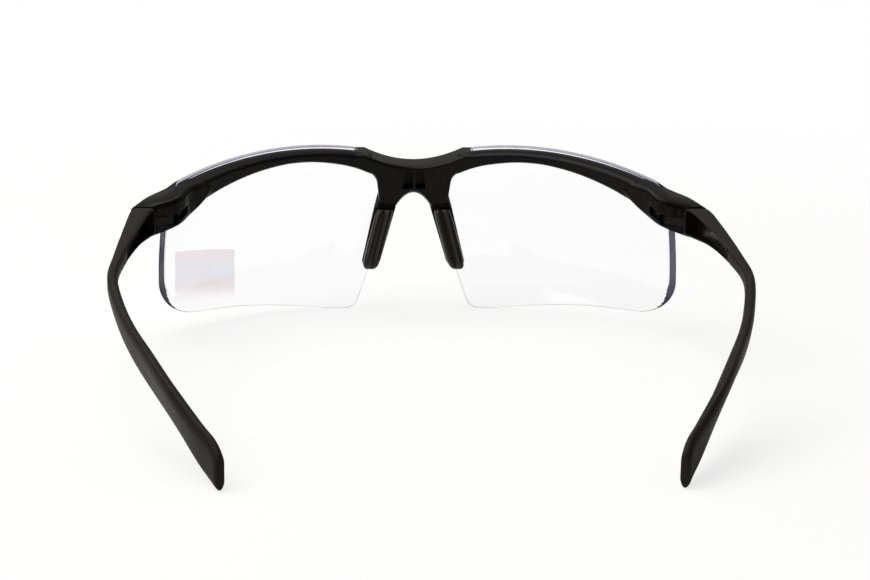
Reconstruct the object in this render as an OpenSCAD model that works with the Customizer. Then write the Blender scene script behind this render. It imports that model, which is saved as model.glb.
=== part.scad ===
// Bifocal safety glasses with a half frame, in millimetres.
// X runs across the face, the lenses look along -Y, the temples reach back along +Y, Z is up.
// They stand as they do on a table: on the lower edge of both lenses and on the temple tips.
// The origin is on the table, under the middle of the whole part.
// Each piece is drawn for the side with positive X and mirrored for the other side.

/* [Lenses] */
// Radius of the outer face of the lens, which is part of a sphere
lens_r = 67; // [62:1:74]
// Thickness of a lens
lens_t = 2.2; // [1.8:0.1:2.8]
// Width of a lens, from its nose edge to its temple edge
lens_w = 55; // [50:1:60]
// Height of a lens
lens_h = 41.1; // [38:0.1:45]
// Distance from the middle of the glasses to the nose edge of a lens
lens_in = 6.8; // [6.2:0.1:8]
// Distance from the middle of the glasses to the axis of the lens sphere
lens_cx = 7; // [4:0.5:9]
// Height of the middle of the lens sphere above the table
lens_cz = 20; // [17:0.5:23]
// Gap between a lens and the groove that holds it
lens_gap = 0.12; // [0.05:0.01:0.25]

/* [Reading segments] */
// Radius of the round reading segment
seg_r = 13; // [10:0.5:14]
// Distance of the middle of the segment from the nose edge of the lens
seg_x = 15.7; // [14:0.1:18]
// Height of the middle of the segment above the lower edge of the lens
seg_z = 10.5; // [9:0.5:12]
// Height of the flat top of the segment above the lower edge of the lens
seg_top = 12.5; // [11:0.5:16]
// How far the segment stands proud of the back of the lens
seg_rise = 0.4; // [0.2:0.05:0.8]

/* [Brow bar] */
// Depth of the brow bar behind the lens
bar_d = 4; // [3:0.1:5]
// Height of the brow bar where it is slimmest
bar_h = 2.9; // [2.4:0.1:4]
// Height of the brow bar where it meets the end piece
bar_end_h = 6; // [5:0.1:7]
// How far the top of the lens stands above the brow bar
bar_low = 0.5; // [0.2:0.05:1]

/* [Bridge] */
// Height of the top of the bridge at the middle, above the table
bridge_z = 36.9; // [34:0.1:38]
// Rise of the top of the bridge from the middle to the lens hooks
bridge_rise = 3.2; // [1.5:0.1:3.6]
// Distance from the middle to the tip of a lens hook
hook_x = 14.7; // [13:0.1:16]
// Height of the arch over the nose above the table
arch_z = 29.2; // [27:0.1:30]
// Thickness of the frame in front of a lens
cover_t = 1.3; // [1:0.1:2]
// Depth of the two hollows in the back of the bridge
hollow_d = 1.5; // [0.5:0.1:2.5]

/* [Nose pads] */
// Height of the top of a nose pad above the table
pad_z = 25.4; // [24:0.1:26]
// Height of a nose pad, from its top to its lower end
pad_h = 14.8; // [12:0.1:16]
// Distance from the middle of the glasses to the middle of a pad's top
pad_top_x = 6.9; // [6:0.1:8]
// Distance from the middle of the glasses to the middle of a pad's lower end
pad_low_x = 10.5; // [9:0.1:12]
// How far the lower end of a pad lies behind its top
pad_back = 4.1; // [2:0.1:6]
// Width of a nose pad at its lower end
pad_w = 4.8; // [4:0.1:5.5]
// Thickness of a nose pad
pad_t = 2.5; // [2:0.1:3]
// Thickness of the arm that carries a nose pad
arm_t = 2.2; // [1.6:0.1:2.8]
// Gap between the top of a pad and the frame
pad_gap = 0.2; // [0.1:0.05:0.4]
// Diameter of the two pegs on an arm that hold the pad
peg_d = 1.4; // [1:0.1:1.8]
// Gap between a peg and its hole
peg_gap = 0.05; // [0.02:0.01:0.1]
// Length of a peg
peg_l = 1.2; // [0.8:0.1:1.6]

/* [Hinges] */
// Distance from the back of the lens edge to the end of the frame
joint_back = 5.7; // [5:0.1:8]
// Width of the frame and the temple where they meet
joint_w = 6; // [5:0.1:7]
// Height of the frame and the temple where they meet
joint_h = 7; // [6.4:0.1:8]
// Height of the lower edge of the joint above the table
joint_z = 25.3; // [24:0.1:27]
// Gap between the frame and the end of the temple
joint_gap = 0.15; // [0.1:0.01:0.3]
// Thickness of the tongue of the temple
tongue_t = 2; // [1.6:0.1:2.4]
// Gap above, below and around the tongue
tongue_gap = 0.15; // [0.1:0.01:0.3]
// Radius of the knuckle of the tongue
knuckle_r = 2.3; // [2:0.1:2.6]
// Diameter of the hinge pin
pin_d = 1.6; // [1.2:0.1:2]
// Gap between the hinge pin and its bores
pin_gap = 0.05; // [0.02:0.01:0.08]
// Height of the upper end of the hinge pin, as a share of the height of the joint
pin_up = 0.86; // [0.7:0.01:0.92]

/* [Temples] */
// Length of a temple along Y, from the joint to its end
temple_l = 115.2; // [105:0.2:125]
// How far a temple bows outwards
temple_bow = 4.5; // [2:0.5:8]
// How far the tip of a temple comes in
tip_in = 19.5; // [12:0.5:22]
// Thickness of a temple over most of its length
temple_t = 3; // [2.4:0.1:4]
// Height of a temple at its slimmest
temple_h = 3.7; // [3:0.1:6]
// Height of the paddle at the back of a temple
paddle_h = 11.7; // [9:0.1:13]
// Lean of the paddle, with its top away from the head
paddle_lean = 20; // [0:1:25]
// Depth of the pocket in the inner face of a temple
pocket_d = 1.9; // [0.6:0.1:2.1]

/* [Label] */
// Width of the film label on the lens
label_w = 14.4; // [10:0.1:16]
// Height of the film label
label_h = 12; // [10:0.1:14]
// Thickness of the film label
label_t = 0.12; // [0.08:0.01:0.2]
// Distance from the middle of the label to the temple edge of the lens
label_x = 10; // [9.4:0.1:14]
// Height of the middle of the label above the lower edge of the lens
label_z = 11.4; // [10:0.1:16]
// Rise of the upper and lower edges of the label towards the temple
label_rise = 9; // [0:1:15]

/* [Hidden] */
$fn = 96;

plastic_black = "#26252a";
rubber_black = "#1c1c1d";
lens_clear = [0.82, 0.84, 0.95, 0.45];
steel_grey = "#b9babd";
film_pink = "#ecc9c9";

bevel = 0.7;
// How far the frame is drawn into the room of the lens, before that room is cut out.
lap = 0.4;

lens_out = lens_in + lens_w;
lens_back_r = lens_r - lens_t;

// Corners of the lens as shares of its width and height, each with the share of
// the shorter side beside it that its rounding takes.
LENS_CORNERS = [
    [0, 0.836, 0.2], [0.145, 0.981, 0.05], [0.541, 1.05, 0.965], [0.918, 0.88, 0.07],
    [0.987, 0.664, 0.3], [1, 0.435, 0.5], [0.996, 0.1, 0.64], [0.658, 0.073, 0.4],
    [0.231, 0, 0.15], [0.136, 0, 0.4], [0.047, 0.328, 0.45], [0, 0.652, 0.6]];

function unit(v) = v / norm(v);
function mix(a, b, t) = a + (b - a) * t;
function clamp(v, lo, hi) = min(max(v, lo), hi);

// Circle that rounds the corner at p between a and b: its middle and its radius.
function corner_circle(a, p, b, share) =
    let (u = unit(a - p), v = unit(b - p), half = acos(u * v) / 2,
         t = share * min(norm(a - p), norm(b - p)), r = t * tan(half))
    [p + unit(u + v) * r / sin(half), r, p + t * u, p + t * v];

function corner_arc(a, p, b, share) =
    let (k = corner_circle(a, p, b, share), s = k[2] - k[0], e = k[3] - k[0],
         from = atan2(s.y, s.x), turn = (atan2(e.y, e.x) - from + 540) % 360 - 180,
         n = max(2, ceil(abs(turn) / 5)))
    [for (i = [0:n]) k[0] + k[1] * [cos(from + turn * i / n), sin(from + turn * i / n)]];

function lens_corner(i) =
    let (c = LENS_CORNERS[(i + len(LENS_CORNERS)) % len(LENS_CORNERS)])
    [lens_in + c.x * lens_w, c.y * lens_h];

function lens_outline() =
    [for (i = [0:len(LENS_CORNERS) - 1])
        each corner_arc(lens_corner(i - 1), lens_corner(i), lens_corner(i + 1), LENS_CORNERS[i][2])];

// Height of the upper edge of the lens, which is one long arc.
top_arc = corner_circle(lens_corner(1), lens_corner(2), lens_corner(3), LENS_CORNERS[2][2]);
function top_z(x) = top_arc[0].y + sqrt(pow(top_arc[1], 2) - pow(x - top_arc[0].x, 2));

// Y of a sphere of radius r about the middle of the lens sphere. Between the two
// lens axes the surface runs straight across.
function ball_y(x, z, r) =
    lens_r - sqrt(r * r - pow(max(abs(x) - lens_cx, 0), 2) - pow(z - lens_cz, 2));

joint_y = ball_y(lens_out, lens_cz, lens_back_r) + joint_back;
joint_mid = [lens_out + joint_w / 2, joint_y + joint_gap];
pin = [lens_out - 1.8, joint_y - 2.8];
tongue_z = joint_z + joint_h / 2;
ear_z = joint_z + 0.9;
ear_top = joint_z + joint_h - 0.1;
pin_low = ear_z + 0.4;
pin_high = joint_z + joint_h * pin_up;
tip_y = joint_y + joint_gap + temple_l;
front_y = ball_y(0, arch_z, lens_r + cover_t);
mid_y = (front_y + tip_y) / 2;

// Skin over a list of rings with the same number of points, which run counter-clockwise
// to someone who looks from the first ring to the last.
module loft(rings) {
    n = len(rings[0]);
    m = len(rings);
    sides = [for (j = [0:m - 2], i = [0:n - 1]) each [
        [j * n + i, j * n + (i + 1) % n, (j + 1) * n + (i + 1) % n],
        [j * n + i, (j + 1) * n + (i + 1) % n, (j + 1) * n + i]]];
    polyhedron([for (r = rings) each r],
               concat([[for (i = [n - 1:-1:0]) i]], sides, [[for (i = [0:n - 1]) (m - 1) * n + i]]),
               convexity = 6);
}

module place() {
    translate([0, -mid_y, 0]) children();
}

module on_side(left) {
    mirror([left ? 0 : 1, 0, 0]) children();
}

// Front view drawn in X and Z, pushed through along Y.
module through(depth) {
    translate([0, depth, 0]) rotate([90, 0, 0]) linear_extrude(depth + 10) children();
}

module lens_shape(extra) {
    middle = [lens_in + lens_w / 2, lens_h / 2];
    grow = [1 + 2 * extra / lens_w, 1 + 2 * extra / lens_h];
    polygon([for (p = lens_outline()) [middle.x + (p.x - middle.x) * grow.x,
                                       middle.y + (p.y - middle.y) * grow.y]]);
}

module shell(outer, inner) {
    translate([lens_cx, lens_r, lens_cz]) difference() {
        sphere(r = outer);
        sphere(r = inner);
    }
}

module lens_body() {
    intersection() {
        shell(lens_r, lens_back_r);
        through(lens_r) lens_shape(0);
    }
}

module segment_body() {
    intersection() {
        shell(lens_back_r + seg_rise, lens_back_r - seg_rise);
        through(lens_r) intersection() {
            lens_shape(0);
            translate([lens_in + seg_x, seg_z]) circle(r = seg_r);
            translate([lens_in, 0]) square([lens_w, seg_top]);
        }
    }
}

module lens(left) {
    color(lens_clear) place() on_side(left) union() {
        lens_body();
        segment_body();
    }
}

// Room for a lens in the frame.
module lens_room() {
    intersection() {
        shell(lens_r + lens_gap, lens_back_r - lens_gap);
        through(lens_r) lens_shape(lens_gap);
    }
}

// Point of the brow bar, a distance d behind the lens and at height z, in the
// upright plane through the lens axis that is turned by angle a.
function bar_point(a, d, z) =
    let (r = sqrt(pow(lens_back_r - lens_gap - d, 2) - pow(z - lens_cz, 2)))
    [lens_cx + r * sin(a), lens_r - r * cos(a), z];

// Angle of the plane in which the top of the bar has this x.
function bar_angle(x) =
    asin((x - lens_cx) / sqrt(pow(lens_back_r - lens_gap, 2) - pow(top_z(x) - bar_low - lens_cz, 2)));

// Share of the growth from the slim middle of the bar to its ends.
BAR_GROWTH = [[0.07, 0.7], [0.133, 0.41], [0.19, 0.25], [0.237, 0.17], [0.303, 0.07], [0.36, 0.01],
              [0.455, 0], [0.532, 0.1], [0.61, 0.23], [0.689, 0.42], [0.769, 0.65], [0.83, 0.88],
              [0.86, 0.95], [1, 0.95]];
bar_from = 0.07;
bar_to = 0.875;

function bar_ring(share) =
    let (x = lens_in + share * lens_w, a = bar_angle(x), top = top_z(x) - bar_low,
         foot = top - mix(bar_h, bar_end_h, lookup(share, BAR_GROWTH)))
    [bar_point(a, -lap, foot), bar_point(a, -lap, mix(foot, top, 0.5)), bar_point(a, -lap, top),
     bar_point(a, bar_d * 0.35, top), bar_point(a, bar_d * 0.8, top - bar_h * 0.2),
     bar_point(a, bar_d, top - bar_h * 0.4), bar_point(a, bar_d, foot + bar_h * 0.17),
     bar_point(a, bar_d * 0.87, foot), bar_point(a, bar_d * 0.4, foot)];

module brow_bar() {
    rings = 20;
    loft([for (i = [0:rings]) bar_ring(mix(bar_from, bar_to, i / rings))]);
}

// Ring of the end piece in the upright plane through an inner and an outer point.
function end_ring(inner, outer, top, crease, foot) =
    let (w = norm(outer - inner), b = bevel)
    [for (p = [[w, foot + b], [w, top - b], [w - b, top], [w * 0.45, mix(top, crease, 0.5)],
               [b, crease], [0, crease - b], [0, foot + b], [b, foot], [w - b, foot]])
        let (q = inner + (outer - inner) * p.x / w) [q.x, q.y, p.y]];

// The end piece runs from the outer end of the bar, around the corner of the lens,
// back to the joint: its start, two rings between and the joint.
end_share = 0.86;
end_start = [for (d = [bar_d + lens_gap, -lens_t - cover_t])
    let (x = lens_in + end_share * lens_w, z = top_z(x) - bar_low, a = bar_angle(x),
         r = sqrt(pow(lens_back_r - d, 2) - pow(z - lens_cz, 2)))
    [lens_cx + r * sin(a), lens_r - r * cos(a), z]];
end_top = end_start[1].z;
end_foot = end_top - bar_end_h;
joint_top = joint_z + joint_h;
joint_in = [lens_out, joint_y];
END_INNER = [joint_in + [-7.9, -6.6], joint_in + [-5.3, -2]];
END_OUTER = [joint_in + [-1.1, -11], joint_in + [2.9, -5.5]];

module end_piece() {
    loft([
        end_ring([end_start[0].x, end_start[0].y], [end_start[1].x, end_start[1].y],
                 end_top - 0.5, end_top - 0.2, end_foot + 0.5),
        end_ring(END_INNER[0], END_OUTER[0], mix(joint_top, end_top, 0.52),
                 mix(joint_top, end_top, 0.72), mix(joint_z, end_foot, 0.62)),
        end_ring(END_INNER[1], END_OUTER[1], mix(joint_top, end_top, 0.3),
                 mix(joint_top, end_top, 0.38), mix(joint_z, end_foot, 0.34)),
        end_ring(joint_in, joint_in + [joint_w, 0], joint_top, joint_top, joint_z)]);
}

// Ears around the hinge pin, above and below the tongue; the foot rises towards the nose.
module hinge_ear() {
    r = knuckle_r + tongue_gap;
    intersection() {
        translate([pin.x, pin.y, joint_z]) cylinder(r = r, h = ear_top - joint_z);
        through(joint_y) polygon([[pin.x - r - 1, ear_z + 1.4], [pin.x + r + 1, joint_z - 0.3],
                                  [pin.x + r + 1, ear_top], [pin.x - r - 1, ear_top]]);
    }
}

// Slot in the end piece in which the tongue of the temple turns.
module tongue_slot() {
    room = knuckle_r + 2 * tongue_gap;
    z = tongue_t / 2 + tongue_gap;
    translate([0, 0, tongue_z - z]) linear_extrude(2 * z) {
        translate(pin) circle(r = room);
        polygon([pin + room * [cos(-35), sin(-35)], joint_in + [3.9, 1], joint_in + [-1.8, 3],
                 joint_in + [-4.9, 1], joint_in + [-4.9, -3.2], pin + [-0.6, -0.8] * room]);
    }
}

// Shallow groove that carries the slot on along the inner face of the end piece.
module end_groove() {
    loft([for (p = [[-7.1, -5.2, 1.9], [-5.3, -2, 0.8], [-4, -1.5, 0.4]])
        let (c = joint_in + [p.x, p.y], out = [0.5, -0.85])
        [for (q = [[0.9, -1], [0.9, 1], [-0.8, 1], [-0.8, -1]])
            [c.x + out.x * q.x, c.y + out.y * q.x, tongue_z + p.z + q.y]]]);
}

module pin_bore() {
    from = joint_z - 1;
    translate([pin.x, pin.y, from])
        cylinder(d = pin_d + 2 * pin_gap, h = pin_high + pin_gap - from);
}

function bridge_top(x) =
    bridge_z + bridge_rise * pow(clamp(abs(x) / (hook_x - 2.5), 0, 1), 2);

// Lower edge of the bridge: the arch over the nose, then out to the brow bars, as
// shares of the distance to the hooks and of the height of the bridge.
bridge_h = bridge_z - arch_z;
arch_half = hook_x * 0.296;
arch_fall = arch_z - pad_z - pad_gap;
BRIDGE_FOOT = [[0.565, 0.43], [0.592, 0.2], [0.605, -0.29], [0.639, -0.47], [0.694, -0.6],
               [0.762, -0.69], [0.85, -0.77], [0.925, -0.84], [1.36, -0.91]];
function bridge_foot(x) =
    abs(x) < arch_half ? arch_z - arch_fall * pow(x / arch_half, 2)
    : abs(x) < hook_x * 0.5 ? arch_z - arch_fall : arch_z - bridge_h * lookup(abs(x) / hook_x, BRIDGE_FOOT);
// Lower edge of what covers the front of the lenses.
FRONT_FOOT = [[0, 0], [0.33, 0.26], [0.48, 0.13], [0.61, -0.39], [0.75, -0.82], [0.88, -1.12],
              [1.36, -1.25]];
function front_foot(x) = arch_z - bridge_h * lookup(abs(x) / hook_x, FRONT_FOOT);

function bridge_ring(x) =
    let (top = bridge_top(x), foot = min(bridge_foot(x), top - 2.4), crease = top - 0.9,
         low = min(front_foot(x), top - 1), front = lens_r + cover_t,
         back = lens_back_r - lens_gap - bar_d * 1.02)
    [[x, ball_y(x, crease, back) - 0.7, crease],
     [x, ball_y(x, crease - 0.5, back), crease - 0.5],
     [x, ball_y(x, foot + 0.8, back), foot + 0.8],
     [x, ball_y(x, foot, back) - 1.2, foot],
     [x, ball_y(x, low, front) + 0.6, low],
     [x, ball_y(x, low + 0.3, front), low + 0.3],
     [x, ball_y(x, top - 0.5, front), top - 0.5],
     [x, ball_y(x, top, front) + 0.8, top]];

BRIDGE_STATIONS = [0.055, 0.11, 0.157, 0.204, 0.245, 0.272, 0.2961, 0.37, 0.505, 0.565, 0.592,
                   0.605, 0.639, 0.694, 0.762, 0.85, 0.925, 1];

module bridge() {
    n = len(BRIDGE_STATIONS);
    loft([for (i = [-n:n]) bridge_ring(i == 0 ? 0 : sign(i) * hook_x * BRIDGE_STATIONS[abs(i) - 1])]);
}

// Arm behind the lens that carries a nose pad: its middle line leans outwards
// and backwards on its way down.
arm_top = [pad_top_x, ball_y(pad_top_x, pad_z, lens_back_r) + 0.3];
arm_low = [pad_low_x, arm_top.y + pad_back];
function arm_at(z) = mix(arm_top, arm_low, (pad_z - z) / pad_h);
function arm_half(z) = mix(pad_w * 0.5, pad_w * 0.56, clamp((pad_z - z) / pad_h, 0, 1));

function arm_ring(z, half, back) =
    let (c = arm_at(z), side = 0.5)
    [[c.x - half + side, c.y, z], [c.x + half - side, c.y, z], [c.x + half, c.y + side, z],
     [c.x + half, c.y + back - side, z], [c.x + half - side, c.y + back, z],
     [c.x - half + side, c.y + back, z], [c.x - half, c.y + back - side, z],
     [c.x - half, c.y + side, z]];

arm_end = pad_z - pad_h + 0.4;

module nose_arm() {
    union() {
        loft([arm_ring(pad_z + 3.5, arm_half(pad_z), arm_t),
              arm_ring(arm_end + 1.4, arm_half(arm_end + 1.4), arm_t),
              arm_ring(arm_end + 0.5, 1.9, arm_t), arm_ring(arm_end, 1.2, arm_t)]);
        loft([arm_ring(pad_z + 4, arm_half(pad_z), arm_t + pad_t * 0.68),
              arm_ring(pad_z + pad_gap, arm_half(pad_z), arm_t + pad_t * 0.84)]);
    }
}

// Turn that lays the Z axis along the way out of the back of an arm.
arm_lean = atan((arm_low.y - arm_top.y) / pad_h);

module at_pegs() {
    for (share = [0.25, 0.72]) {
        z = pad_z - share * pad_h;
        c = arm_at(z);
        translate([c.x, c.y + arm_t, z]) rotate([-90 - arm_lean, 0, 0]) children();
    }
}

// Two hollows in the back of the bridge, with a rib between them.
module hollows() {
    rib = 0.5;
    low = arch_z + bridge_h * 0.17;
    high = arch_z + bridge_h * 0.75;
    for (side = [0, 1]) mirror([side, 0, 0])
        translate([0, ball_y(0, arch_z + bridge_h / 2, lens_back_r - bar_d) - hollow_d, 0])
            rotate([90, 0, 0]) translate([0, 0, -6]) linear_extrude(6)
                polygon([[rib, low], [hook_x * 0.197, low - 0.2], [hook_x * 0.143, high - 0.2],
                         [rib, high]]);
}

module half_frame() {
    brow_bar();
    end_piece();
    hinge_ear();
    nose_arm();
    at_pegs() translate([0, 0, -0.5]) cylinder(d = peg_d, h = peg_l + 0.5, $fn = 32);
}

module front_frame() {
    color(plastic_black) place() difference() {
        union() {
            bridge();
            half_frame();
            mirror([1, 0, 0]) half_frame();
        }
        for (side = [0, 1]) mirror([side, 0, 0]) {
            lens_room();
            tongue_slot();
            end_groove();
            pin_bore();
        }
        hollows();
    }
}

// Nose pad with two soft ridges on its back.
function pad_ring(z, half, thick) =
    let (c = arm_at(z), y = c.y + arm_t)
    [[c.x - half, y, z], [c.x + half, y, z], [c.x + half, y + thick * 0.55, z],
     [c.x + half * 0.75, y + thick * 0.95, z], [c.x + half * 0.45, y + thick, z],
     [c.x + half * 0.1, y + thick * 0.86, z], [c.x - half * 0.25, y + thick * 0.86, z],
     [c.x - half * 0.5, y + thick, z], [c.x - half * 0.8, y + thick * 0.9, z],
     [c.x - half, y + thick * 0.5, z]];

module nose_pad(left) {
    foot = pad_z - pad_h;
    top_half = pad_w * 0.41;
    color(rubber_black) place() on_side(left) difference() {
        loft([pad_ring(pad_z, top_half * 0.9, pad_t * 0.8), pad_ring(pad_z - 1, top_half, pad_t * 0.96),
              pad_ring(foot + 3, pad_w * 0.44, pad_t), pad_ring(foot + 1.5, pad_w * 0.41, pad_t),
              pad_ring(foot + 0.5, pad_w * 0.32, pad_t * 0.8),
              pad_ring(foot, pad_w * 0.2, pad_t * 0.5)]);
        at_pegs() translate([0, 0, -1])
            cylinder(d = peg_d + 2 * peg_gap, h = peg_l + 1 + peg_gap, $fn = 32);
    }
}

// Stations of a temple. Shares of its length, of the bow, of the draw-in and of the
// drop from the joint to the tip; how much it is as tall and as wide as the joint,
// how much as tall as the paddle; share of the lean.
TEMPLE_STATIONS = [
    [0, 0, 0, 0, 1, 1, 0, 0],
    [0.06, 0.11, 0, -0.03, 0.94, 0.67, 0, 0],
    [0.18, 0.44, 0, -0.022, 0.27, 0.33, 0, 0],
    [0.3, 0.84, 0, 0.047, 0, -0.06, 0, 0],
    [0.4, 1.05, 0, 0.14, 0, -0.15, 0, 0],
    [0.52, 0.95, 0.1, 0.283, 0, -0.12, 0.15, 0.25],
    [0.63, 0.64, 0.21, 0.415, 0, -0.05, 0.44, 0.6],
    [0.74, 0.3, 0.4, 0.58, 0, 0, 0.95, 1],
    [0.84, 0.1, 0.585, 0.71, 0, 0, 1, 1],
    [0.92, 0, 0.79, 0.863, 0, 0, 0.79, 0.6],
    [0.97, 0, 0.93, 0.937, 0, -0.12, 0.69, 0.2],
    [1, 0, 1, 1, 0, -0.2, 0.42, 0]];

// Curve through the stations, between station i and the next one.
function curve(i, t) =
    let (s = TEMPLE_STATIONS, n = len(s) - 1,
         a = s[max(i - 1, 0)], b = s[i], c = s[min(i + 1, n)], d = s[min(i + 2, n)])
    0.5 * (2 * b + (c - a) * t + (2 * a - 5 * b + 4 * c - d) * t * t
           + (3 * b - 3 * c + d - a) * t * t * t);

function temple_tall(s) = temple_h + (joint_h - temple_h) * s[4] + (paddle_h - temple_h) * s[6];
function temple_wide(s) = mix(temple_t, joint_w, s[5]);
tip_z = temple_tall(TEMPLE_STATIONS[len(TEMPLE_STATIONS) - 1]) / 2;

function temple_middle(s) =
    [joint_mid.x + s[1] * temple_bow - s[2] * tip_in, joint_mid.y + s[0] * temple_l,
     mix(joint_z + joint_h / 2, tip_z, s[3])];

// Points p of the section at station i and share t of the way to the next one.
function temple_section(i, t, p) =
    let (s = curve(i, t), m = temple_middle(s), lean = paddle_lean * s[7],
         a = temple_middle(curve(i, t - 0.05)), b = temple_middle(curve(i, t + 0.05)),
         along = i + t == 0 ? [0, 1] : unit([b.x - a.x, b.y - a.y]))
    [for (q = p)
        let (x = q.x * cos(lean) + q.y * sin(lean), z = q.y * cos(lean) - q.x * sin(lean))
        [m.x + along.y * x, m.y - along.x * x, m.z + z]];

function temple_ring(i, t) =
    let (s = curve(i, t), h = temple_tall(s) / 2, w = temple_wide(s) / 2,
         e = min(bevel, 0.26 * h, 0.5 * w))
    temple_section(i, t, [[-w, -h + e], [-w + e, -h], [w - e, -h], [w, -h + e],
                          [w, h - e], [w - e, h], [-w + e, h], [-w, h - e]]);

module temple_blade() {
    steps = 4;
    n = len(TEMPLE_STATIONS) - 1;
    loft([for (i = [0:n - 1], k = [0:(i == n - 1 ? steps : steps - 1)]) temple_ring(i, k / steps)]);
}

// Long pocket in the inner face, deep at the joint and flat at its far end.
function pocket_ring(i, t, deep) =
    let (s = curve(i, t), h = temple_tall(s) * 0.38, w = temple_wide(s) / 2, from = -w - 1,
         to = -w + deep)
    temple_section(i, t, [[from, -h], [to, -h], [to, h], [from, h]]);

module pocket() {
    loft([pocket_ring(0, 0.45, pocket_d), pocket_ring(1, 0, pocket_d), pocket_ring(1, 0.4, pocket_d),
          pocket_ring(1, 0.8, pocket_d * 0.9), pocket_ring(2, 0.2, pocket_d * 0.7),
          pocket_ring(2, 0.6, pocket_d * 0.45), pocket_ring(2, 0.95, -0.1)]);
}

module tongue() {
    web = 1;
    translate([0, 0, tongue_z - tongue_t / 2]) linear_extrude(tongue_t) {
        translate(pin) circle(r = knuckle_r);
        polygon([pin + [knuckle_r * cos(-35), knuckle_r * sin(-35)],
                 [lens_out + 2.9, joint_y + joint_gap], [lens_out + 2.9, joint_y + web],
                 [lens_out + 0.2, joint_y + web], pin + [-0.3, knuckle_r * 0.98]]);
    }
}

module temple(left) {
    color(plastic_black) place() on_side(left) difference() {
        union() {
            difference() {
                temple_blade();
                pocket();
            }
            tongue();
        }
        translate([pin.x, pin.y, joint_z])
            cylinder(d = pin_d + 2 * pin_gap, h = joint_h);
    }
}

module hinge_pin(left) {
    color(steel_grey) place() on_side(left) translate([pin.x, pin.y, pin_low])
        cylinder(d = pin_d, h = pin_high - pin_low);
}

// The label lies on the lens; this gap keeps the two solids apart.
film_gap = 0.02;

module lens_label() {
    middle = [lens_out - label_x, label_z];
    color(film_pink) place() intersection() {
        shell(lens_r + film_gap + label_t, lens_r + film_gap);
        through(lens_r) translate(middle)
            polygon([for (s = [[-1, -1], [1, -1], [1, 1], [-1, 1]])
                [s.x * label_w, s.x * label_w * tan(label_rise) + s.y * label_h] / 2]);
    }
}

front_frame();
lens(true);  // left_lens
lens(false);  // right_lens
nose_pad(true);  // left_nose_pad
nose_pad(false);  // right_nose_pad
temple(true);  // left_temple
temple(false);  // right_temple
hinge_pin(true);  // left_hinge_pin
hinge_pin(false);  // right_hinge_pin
lens_label();
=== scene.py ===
# %% [markdown]
# # Wrap-around bifocal safety glasses, seen from behind
# Clear polycarbonate lenses hang in front of a black brow bar, two satin temples fold
# on hidden hinges, and two rubber pads sit on the arms of the bridge. The lesson builds
# each of these over a measured CAD model, which stays the frame that everything fits.

# %% Load the measured model
import math

import bmesh
import bpy
import numpy as np
from mathutils import Matrix, Vector


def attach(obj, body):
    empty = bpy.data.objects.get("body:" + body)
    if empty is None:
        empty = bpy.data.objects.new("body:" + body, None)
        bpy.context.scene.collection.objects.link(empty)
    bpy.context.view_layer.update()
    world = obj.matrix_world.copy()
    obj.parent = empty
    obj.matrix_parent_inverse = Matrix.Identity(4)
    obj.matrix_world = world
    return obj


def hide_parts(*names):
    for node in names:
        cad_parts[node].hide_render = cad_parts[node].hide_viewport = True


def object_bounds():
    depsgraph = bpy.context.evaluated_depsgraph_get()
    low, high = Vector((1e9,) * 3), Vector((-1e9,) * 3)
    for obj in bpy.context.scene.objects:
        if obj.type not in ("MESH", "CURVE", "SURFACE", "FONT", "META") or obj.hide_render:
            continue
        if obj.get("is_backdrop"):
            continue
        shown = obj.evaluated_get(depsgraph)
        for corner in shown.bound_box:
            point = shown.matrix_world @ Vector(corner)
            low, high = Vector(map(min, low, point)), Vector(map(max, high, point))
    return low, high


scene = bpy.context.scene
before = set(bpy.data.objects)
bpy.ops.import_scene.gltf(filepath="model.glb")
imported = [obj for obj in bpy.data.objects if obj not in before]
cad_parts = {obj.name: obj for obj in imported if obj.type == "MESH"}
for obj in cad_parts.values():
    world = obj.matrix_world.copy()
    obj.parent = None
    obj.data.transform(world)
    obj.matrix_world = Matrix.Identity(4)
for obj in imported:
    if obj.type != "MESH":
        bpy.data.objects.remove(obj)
cad_box = [list(corner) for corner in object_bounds()]
print("CAD nodes:", ", ".join(sorted(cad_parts)))

# %% [markdown]
# ## Camera
# The photograph was taken from behind the glasses, a little to one side and above, with
# a long lens from about 0.6 m. The place and the turn come from fitting the CAD model's
# edges to the picture, so the camera is set by numbers and not by eye. A matrix built
# from its three axes is clearer here than a chain of turns.

# %% Place the camera
MM = 0.001
EYE = Vector((36.63, 559.834, 156.5)) * MM
YAW, PITCH, ROLL = (math.radians(a) for a in (3.839, 13.533, -0.843))
PICTURE_WIDTH = 870
FOCAL_PIXELS = 2607.5
SENSOR_MM = 36.0

forward = Vector((-math.sin(YAW) * math.cos(PITCH), -math.cos(YAW) * math.cos(PITCH),
                  -math.sin(PITCH)))
level = forward.cross(Vector((0, 0, 1))).normalized()
upright = level.cross(forward)
right = level * math.cos(ROLL) - upright * math.sin(ROLL)
up = right.cross(forward)

camera_data = bpy.data.cameras.new("camera")
camera_data.sensor_width = SENSOR_MM
camera_data.lens = FOCAL_PIXELS * SENSOR_MM / PICTURE_WIDTH
camera_data.clip_start, camera_data.clip_end = 0.01, 50
camera = bpy.data.objects.new("camera", camera_data)
scene.collection.objects.link(camera)
turn = Matrix((right, up, -forward)).transposed().to_4x4()
camera.matrix_world = Matrix.Translation(EYE) @ turn
scene.camera = camera
scene.view_settings.view_transform = "Standard"
print(f"camera at {tuple(round(c, 3) for c in EYE)} m, lens {camera_data.lens:.1f} mm")

# %% [markdown]
# ## Helpers
# Every finish below is a node tree. Colours are written as the sRGB hex values that a
# colour picker shows, and Blender's sockets want linear numbers, so one function turns
# them. A second one adds a node, with its settings and links, in one line. Patterns lie
# on Object coordinates in metres, so a Scale of 1000 draws a pattern of 1 mm.

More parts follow.
